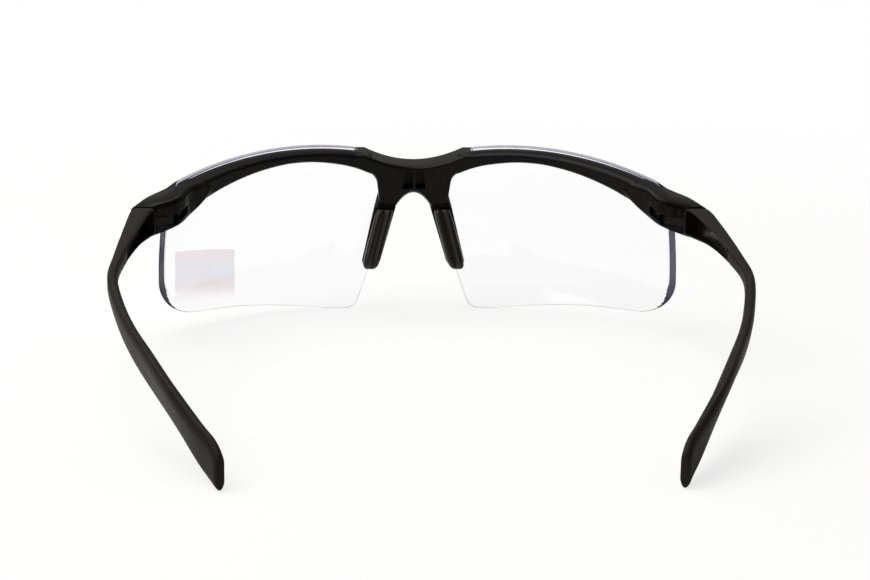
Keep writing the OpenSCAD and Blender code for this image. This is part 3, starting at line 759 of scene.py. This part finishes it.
def arm_half(z):
    return mixed(PAD_W * 0.56, PAD_W * 0.46, min(max((PAD_Z - z) / PAD_H, 0), 1))


def arm_ring(z, half, back):
    """Section of a nose arm at height z, with cut corners."""
    c, s = arm_at(z), 0.5
    return rounded([(c[0] + x, c[1] + y, z) for x, y in (
        (-half + s, 0), (half - s, 0), (half, s), (half, back - s), (half - s, back),
        (-half + s, back), (-half, back - s), (-half, s))], 0.4)


pin_at = np.array((LENS_OUT - 1.8, joint_y - 2.8))
KNUCKLE_R, PIN_D, PIN_GAP, TONGUE_T, TONGUE_GAP = 2.3, 1.6, 0.05, 2.0, 0.15
tongue_z = JOINT_Z + JOINT_H / 2
pin_high = JOINT_Z + JOINT_H * 0.86
# Direction, from the pin, of the place where the tongue's web leaves its knuckle.
WEB_TURN = math.radians(-35)
web_way = np.array((math.cos(WEB_TURN), math.sin(WEB_TURN)))
bore = circle(pin_at, PIN_D / 2 + PIN_GAP, 40)
print("pin at", np.round(pin_at, 1), "mm")

# %% Raise the front
def half_front(left):
    """The solids of one half of the front, as a list of objects."""
    bar = loft("bar", [bar_ring(s) for s in np.linspace(0.07, 0.875, 110)], left)
    rings = [rounded(r, 0.45) for r in flowing(END_RINGS, 80)]
    # A small chamfer takes the sharpness off the face of the joint.
    face, middle = rings[-1], rings[-1].mean(axis=0)
    rings[-1:] = [face - (0, 0.12, 0), middle + (face - middle) * (0.96, 1, 0.965)]
    end = loft("end", rings, left)
    ear_r = KNUCKLE_R + TONGUE_GAP
    flat = circle(pin_at, ear_r)
    # Its lower side slopes up towards the nose.
    share = (flat[:, 0] - pin_at[0] + ear_r + 1) / (2 * ear_r + 2)
    low = np.maximum(JOINT_Z, mixed(JOINT_Z + 2.3, JOINT_Z - 0.3, share))
    ear = prism("ear", flat, low, joint_top - 0.1, left)
    arm_end = PAD_Z - PAD_H + 0.4
    rings = [arm_ring(z, arm_half(z), ARM_T) for z in np.linspace(PAD_Z + 3.5, arm_end + 1.4, 24)]
    rings += [arm_ring(arm_end + 0.5, 1.8, ARM_T), arm_ring(arm_end, 1.2, ARM_T)]
    arm = loft("arm", rings, left)
    shelf = loft("shelf", [arm_ring(PAD_Z + 4, PAD_W * 0.48, ARM_T + PAD_T * 0.68),
                           arm_ring(PAD_Z + PAD_GAP, PAD_W * 0.5, ARM_T + PAD_T * 0.84)], left)
    return [bar, end, ear, arm, shelf]


HALF_SPAN = HOOK_X * np.concatenate([np.linspace(0, 0.55, 34), np.linspace(0.56, 0.70, 22),
                                     np.linspace(0.715, 1, 20)])
bridge = loft("front_moulding", [bridge_ring(x) for x in
                                 np.concatenate([-HALF_SPAN[:0:-1], HALF_SPAN])])
for left in (True, False):
    for part in half_front(left):
        combine(bridge, part, "UNION")
print("front before carving:", len(bridge.data.polygons), "faces")

# %% [markdown]
# ## Carving the front
# The rooms for the lenses, the slots in which the temples' tongues turn, the bores for
# the pins and the two hollows in the back of the bridge are cut out last, as a mould's
# cores would leave them.

# %% Carve the front and give it its finish
points, skin, _ = lens_mesh(LENS_R + LENS_GAP, LENS_BACK_R - LENS_GAP, LENS_GAP, rim=0.01)
room_r = KNUCKLE_R + 2 * TONGUE_GAP
slot_low, slot_high = (tongue_z + way * (TONGUE_T / 2 + TONGUE_GAP) for way in (-1, 1))
mouth = [pin_at + room_r * web_way, joint_in + (3.9, 1), joint_in + (-1.8, 3),
         joint_in + (-4.9, 1), joint_in + (-4.9, -3.2), pin_at + np.array((-0.6, -0.8)) * room_r]
groove = []
for x, y, z in ((-7.1, -5.2, 1.9), (-5.3, -2, 0.8), (-4, -1.5, 0.4)):
    c = joint_in + (x, y)
    groove.append([(c[0] + 0.5 * q, c[1] - 0.85 * q, tongue_z + z + h)
                   for q, h in ((0.9, -1), (0.9, 1), (-0.8, 1), (-0.8, -1))])
low, high = ARCH_Z + BRIDGE_H * 0.17, ARCH_Z + BRIDGE_H * 0.75
deep = float(ball_y(0, ARCH_Z + BRIDGE_H / 2, LENS_BACK_R - BAR_D)) - HOLLOW_D
shape = [(0.35, low), (HOOK_X * 0.197, low - 0.2), (HOOK_X * 0.15, high - 0.2), (0.35, high)]
hollow = [[(x, y, z) for x, z in rounded(shape, 0.4)] for y in (deep, deep + 6)]
for left in (True, False):
    for tool in (close(make_object("room", into_scene(points, left), skin)),
                 prism("slot", circle(pin_at, room_r), slot_low, slot_high, left),
                 prism("mouth", mouth, slot_low, slot_high, left),
                 loft("groove", flowing(groove, 12), left),
                 prism("bore", bore, JOINT_Z - 1, pin_high + PIN_GAP, left),
                 loft("hollow", hollow, left)):
        combine(bridge, tool)
dress(bridge, gloss_nylon)
close(bridge)
finish_piece(bridge, "front", "front_frame")

# %% [markdown]
# ## Nose pads
# Each pad is a soft strip with two long ridges, pushed on the pegs of its arm. A rule
# makes it: one section, scaled in width and thickness on its way down a leaning line. So
# a node tree bends a flat grid into it. One direction of the grid runs round the section
# and the other down the pad, and four curves hold the section and its two scales. The
# ends shrink to a point, which is merged, so the pad is closed without caps.

# %% Node tree of a pad
SECTION_ACROSS = [(0, 0.5), (.13, 1), (.2, 1), (.33, .87), (.42, .72), (.5, .53), (.58, .38),
                  (.68, .22), (.8, 0), (.87, 0), (1, .5)]
SECTION_OUT = [(0, 0), (.13, 0), (.2, .5), (.33, .95), (.42, 1), (.5, .84), (.58, .86),
               (.68, 1), (.8, .5), (.87, 0), (1, 0)]
WIDTH_DOWN = [(0, 0), (.006, .5), (.02, .68), (.07, .82), (.45, .87), (.8, .86), (.9, .8),
              (.96, .62), (.99, .34), (1, 0)]
THICK_DOWN = [(0, 0), (.006, .55), (.02, .75), (.07, .93), (.2, 1), (.8, 1), (.93, .9),
              (.975, .66), (.993, .36), (1, 0)]


def pad_tree():
    """Node tree that bends a grid into a pad between two points of its arm."""
    tree = bpy.data.node_groups.new("nose_pad", "GeometryNodeTree")
    for name, kind in (("Half Width", "Float"), ("Thickness", "Float"), ("Top", "Vector"),
                       ("Foot", "Vector"), ("Rubber", "Material")):
        tree.interface.new_socket(name, in_out="INPUT", socket_type="NodeSocket" + kind)
    tree.interface.new_socket("Pad", in_out="OUTPUT", socket_type="NodeSocketGeometry")
    given = add(tree, "NodeGroupInput").outputs
    grid = add(tree, "GeometryNodeMeshGrid", {"Size X": 1.0, "Size Y": 1.0, "Vertices X": 97,
                                              "Vertices Y": 81})
    spot = add(tree, "GeometryNodeInputPosition")
    spread = add(tree, "ShaderNodeSeparateXYZ", {0: spot}).outputs
    around = add(tree, MATH, {0: spread["X"], 1: 0.5}, operation="ADD")
    # Rows crowd together at both ends, where the pad rounds off.
    angle = add(tree, MATH, {0: spread["Y"], 1: math.pi}, operation="MULTIPLY")
    sine = add(tree, MATH, {0: angle}, operation="SINE")
    down = add(tree, RANGE, {"Value": sine, "From Min": -1.0})
    read = []
    for source, table in ((around, SECTION_ACROSS), (around, SECTION_OUT), (down, WIDTH_DOWN),
                          (down, THICK_DOWN)):
        curve = add(tree, "ShaderNodeFloatCurve", {"Value": source})
        spots = curve.mapping.curves[0].points
        spots[0].location, spots[1].location = table[0], table[-1]
        for place in table[1:-1]:
            spots.new(*place)
        curve.mapping.update()
        read.append(curve)
    across, out, width, thick = read
    middle = add(tree, "ShaderNodeMix", {"Factor": down, 4: given["Top"], 5: given["Foot"]},
                 data_type="VECTOR")
    side = add(tree, RANGE, {"Value": across, "To Min": -1.0})
    half = add(tree, MATH, {0: given["Half Width"], 1: width}, operation="MULTIPLY")
    deep = add(tree, MATH, {0: given["Thickness"], 1: thick}, operation="MULTIPLY")
    x = add(tree, MATH, {0: side, 1: half}, operation="MULTIPLY")
    y = add(tree, MATH, {0: out, 1: deep}, operation="MULTIPLY")
    away = add(tree, "ShaderNodeCombineXYZ", {"X": x, "Y": y})
    place = add(tree, "ShaderNodeVectorMath", {0: middle.outputs[1], 1: away}, operation="ADD")
    bent = add(tree, "GeometryNodeSetPosition", {"Geometry": grid.outputs["Mesh"],
                                                 "Position": place})
    merged = add(tree, "GeometryNodeMergeByDistance", {"Geometry": bent, "Distance": 1e-6})
    real = add(tree, "GeometryNodeRealizeInstances", {"Geometry": merged})
    dressed = add(tree, "GeometryNodeSetMaterial", {"Geometry": real,
                                                    "Material": given["Rubber"]})
    add(tree, "NodeGroupOutput", {"Pad": dressed})
    return tree


pad_nodes = pad_tree()
print("pad tree:", len(pad_nodes.nodes), "nodes")

# %% Grow the pads
def grown_from(tree, name, values):
    """A plain mesh object from a node tree, with values for its inputs by name."""
    piece = make_object(name, [], [])
    step = piece.modifiers.new("nodes", "NODES")
    step.node_group = tree
    for item in tree.interface.items_tree:
        if item.in_out == "INPUT":
            step[item.identifier] = values[item.name]
    apply(piece, step)
    return piece


for side in ("left", "right"):
    ends = [(*(arm_at(z) + (0, ARM_T)), z) for z in (PAD_Z, PAD_Z - PAD_H)]
    top, foot = into_scene(ends, side == "left")
    pad = grown_from(pad_nodes, f"{side}_pad_rubber", {
        "Half Width": PAD_W / 2 * MM, "Thickness": PAD_T * MM, "Top": top.tolist(),
        "Foot": foot.tolist(), "Rubber": soft_rubber})
    close(pad, angle=60)
    finish_piece(pad, "front", f"{side}_nose_pad")

# %% [markdown]
# ## Temples
# A temple starts as tall as the joint, slims to a bar, bows outwards, and then drops and
# widens to a flat paddle that leans in behind the ear. Stations along it hold the shares
# of each movement, and a smooth curve through them gives as many rings as wanted.

# %% Stations and sections of a temple
TEMPLE_L, TEMPLE_BOW, TIP_IN, TEMPLE_T, TEMPLE_H = 115.2, 4.5, 19.5, 3.0, 3.7
PADDLE_H, PADDLE_LEAN, POCKET_D = 11.7, 20.0, 2.6
# The columns: place along, bow, way in, drop, joint height, thickness, paddle height, lean.
ALONG, BOW, INWARD, DROP, JOINT, THICK, PADDLE, LEAN = range(8)
STATIONS = np.array([
    (0, 0, 0, 0, 1, 1, 0, 0), (.06, .11, 0, -.03, .94, .67, 0, 0),
    (.18, .44, 0, -.022, .27, .33, 0, 0), (.3, .84, 0, .047, 0, -.06, 0, 0),
    (.4, 1.05, 0, .14, 0, -.15, 0, 0), (.52, .95, .1, .283, 0, -.12, .15, .25),
    (.63, .64, .21, .415, 0, -.05, .44, .6), (.74, .3, .4, .58, 0, 0, .95, 1),
    (.84, .1, .585, .71, 0, 0, 1, 1), (.92, 0, .79, .863, 0, 0, .79, .6),
    (.97, 0, .93, .937, 0, -.12, .69, .2), (1, 0, 1, 1, 0, -.2, .42, 0)])
joint_mid = np.array((LENS_OUT + JOINT_W / 2, joint_y + JOINT_GAP))


def tall(v):
    return TEMPLE_H + (JOINT_H - TEMPLE_H) * v[JOINT] + (PADDLE_H - TEMPLE_H) * v[PADDLE]


tip_z = tall(STATIONS[-1]) / 2


def temple_middle(v):
    return np.array((joint_mid[0] + v[BOW] * TEMPLE_BOW - v[INWARD] * TIP_IN,
                     joint_mid[1] + v[ALONG] * TEMPLE_L, mixed(tongue_z, tip_z, v[DROP])))


def temple_section(s, flat):
    """Section points (across, up) turned by the lean and put square to the path."""
    v = smooth_at(STATIONS, s)
    lean = math.radians(PADDLE_LEAN * v[LEAN])
    ahead, behind = (temple_middle(smooth_at(STATIONS, s + step)) for step in (0.05, -0.05))
    along = (ahead - behind)[:2]
    along = np.array((0, 1)) if s == 0 else along / np.linalg.norm(along)
    x, z = flat.T
    x, z = x * math.cos(lean) + z * math.sin(lean), z * math.cos(lean) - x * math.sin(lean)
    return temple_middle(v) + np.stack([along[1] * x, -along[0] * x, z], 1)


# At the joint the temple lies a little lower than the end piece, whose face draws a dark line
# there. The drop fades out over a few stations.
TIP_ROUND, SEAM, JOINT_DROP, DROP_STATIONS = 0.9, 0.15, 0.4, 1.2


def temple_ring(s):
    """Section of the temple at place s, counted in stations."""
    v = smooth_at(STATIONS, s)
    to_go = (1 - v[ALONG]) * TEMPLE_L
    inset = TIP_ROUND * (1 - math.sqrt(max(0, 1 - max(0, 1 - to_go / TIP_ROUND) ** 2)))
    seam = SEAM if s == 0 else 0
    # The rounding takes away some of the height, which comes back here.
    swell = float(np.interp(v[ALONG], (0.35, 0.62, 0.92, 1), (0, 0.6, 0.4, 0)))
    h = tall(v) / 2 + swell - inset * 0.35 - seam
    w = mixed(TEMPLE_T, JOINT_W, v[THICK]) / 2 - inset * 0.55 - seam
    low = JOINT_DROP * max(0, 1 - s / DROP_STATIONS)
    w -= 0.3 * low
    e = min(BEVEL, 0.26 * h, 0.5 * w)
    b, c = min(e * (1 + 0.6 * v[PADDLE]), 0.85 * w), e * (1 + 0.7 * v[PADDLE])
    flat = [(-w, -h + c), (-w + b, -h), (w - b, -h), (w, -h + c),
            (w, h - c - low), (w - b, h - low), (-w + b, h - low), (-w, h - c - low)]
    flat = rounded(flat, 0.5 * e + 0.15 + v[PADDLE])
    # Towards the back the section swells into an oval.
    oval = 0.9 * min(max((v[ALONG] - 0.12) / 0.3, 0), 1) * (1 - 0.6 * v[PADDLE])
    angle = np.arctan2(flat[:, 1] / h, flat[:, 0] / w)
    ellipse = np.stack([w * np.cos(angle), h * np.sin(angle)], 1)
    return temple_section(s, flat + (ellipse - flat) * oval)


def pocket_ring(s, deep):
    """Section of the pocket's core at place s."""
    v = smooth_at(STATIONS, s)
    h, w = tall(v) * 0.4, mixed(TEMPLE_T, JOINT_W, v[THICK]) / 2
    return temple_section(s, rounded([(-w - 1, -h), (-w + deep, -h), (-w + deep, h),
                                      (-w - 1, h)], 0.35))


print(f"tip {joint_mid[1] + TEMPLE_L:.1f} mm behind the lens, {2 * tip_z:.1f} mm high")

# %% Build the two temples
# Depth of the pocket along the stations, as a share of its greatest depth.
POCKET = np.array([(.45, 1), (1.4, 1), (1.8, .9), (2.2, .7), (2.6, .45), (2.95, -.08)])
WEB = 1.0
LAST = len(STATIONS) - 1
# The rings crowd together at the tip, where the temple rounds off.
RINGS_AT = np.concatenate([np.linspace(0, LAST, 200)[:-1], np.linspace(LAST - 0.055, LAST, 10)])
rings = [temple_ring(s) for s in np.unique(RINGS_AT)]
pocket = [pocket_ring(s, POCKET_D * np.interp(s, POCKET[:, 0], POCKET[:, 1]))
          for s in np.linspace(POCKET[0, 0], POCKET[-1, 0], 50)]
low, high = tongue_z - TONGUE_T / 2, tongue_z + TONGUE_T / 2
web = [pin_at + KNUCKLE_R * web_way, (LENS_OUT + 2.9, joint_mid[1]),
       (LENS_OUT + 2.9, joint_y + WEB), (LENS_OUT + 0.2, joint_y + WEB),
       pin_at + (-0.3, KNUCKLE_R * 0.98)]
for side in ("left", "right"):
    left = side == "left"
    temple, core = loft(f"{side}_temple_moulding", rings, left), loft("pocket", pocket, left)
    dress(temple, satin_nylon)
    # The pocket's walls take the darker, glossier black of the front, which paints shade into the
    # recess.
    dress(core, gloss_nylon)
    combine(temple, core)
    combine(temple, prism("knuckle", circle(pin_at, KNUCKLE_R), low, high, left), "UNION")
    combine(temple, prism("web", web, low, high, left), "UNION")
    combine(temple, prism("bore", bore, JOINT_Z, joint_top, left))
    close(temple)
    print("finishes:", [m.name for m in temple.data.materials])
    finish_piece(temple, f"{side}_arm", f"{side}_temple")

# %% [markdown]
# ## Hinge pins and film label
# These keep their CAD shapes. The pins are ground steel, and the label is a thin film on
# the front of one lens, with one plain printed band.

# %% Steel and printed film
PINK, BAND = "#e0808f", "#7f9bdc"
LABEL_MIDDLE, LABEL_H, LABEL_RISE = (51.8, 11.4), 12.0, math.radians(9)


def make_pin_steel():
    """Ground steel: bright grey, brushed round the pin."""
    material, tree, place = new_material("steel_ground")
    stretched = add(tree, "ShaderNodeMapping", {"Vector": place, "Scale": (300, 300, 6000)})
    lines = add(tree, NOISE, {"Vector": stretched, "Scale": 1.0})
    gloss = add(tree, RANGE, {"Value": lines, "To Min": 0.25, "To Max": 0.45})
    body = add(tree, PRINCIPLED, {"Base Color": linear("#a9a9ab"), "Metallic": 1.0,
                                  "Roughness": gloss})
    add(tree, OUTPUT, {"Surface": body})
    return material


def make_film():
    """Printed film: thin and milky, pale pink with a blue-grey band, worn away at its foot."""
    material, tree, place = new_material("film_printed")
    # Heights count square to the film's own slope, so the bands run along it.
    upward = (-math.tan(LABEL_RISE), 0, 1)
    height = add(tree, "ShaderNodeVectorMath", {0: place, 1: upward},
                 operation="DOT_PRODUCT").outputs["Value"]
    middle = LABEL_MIDDLE[1] + upward[0] * LABEL_MIDDLE[0]
    share = add(tree, RANGE, {"Value": height, "From Min": (middle - LABEL_H / 2) * MM,
                              "From Max": (middle + LABEL_H / 2) * MM})
    bands = add(tree, "ShaderNodeValToRGB", {0: share})
    stops = bands.color_ramp.elements
    stops[0].position, stops[0].color = 0.42, linear(PINK)
    stops[1].position, stops[1].color = 0.47, linear(BAND)
    stops.new(0.74).color = linear(BAND)
    stops.new(0.79).color = linear(PINK)
    mottle = add(tree, NOISE, {"Vector": place, "Scale": 400.0, "Detail": 2.0})
    cloud = add(tree, RANGE, {"Value": mottle, "To Min": 0.11, "To Max": 0.15})
    worn = add(tree, RANGE, {"Value": share, "From Max": 0.3, "To Min": 0.1},
               interpolation_type="SMOOTHSTEP")
    cover = add(tree, MATH, {0: cloud, 1: worn}, operation="MULTIPLY")
    body = add(tree, PRINCIPLED, {"Base Color": bands, "Roughness": 0.5, "Alpha": cover})
    add(tree, OUTPUT, {"Surface": body})
    return material


steel = make_pin_steel()
for node, material in (("left_hinge_pin", steel), ("right_hinge_pin", steel),
                       ("lens_label", make_film())):
    dress(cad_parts[node], material)
print("label finished about", LABEL_MIDDLE, "mm")

# %% Print the sizes of both boxes
looks_box = [list(corner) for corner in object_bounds()]
for name, box in (("CAD", cad_box), ("visual", looks_box)):
    print(name, "box", np.round(np.array(box) / MM, 2).tolist())
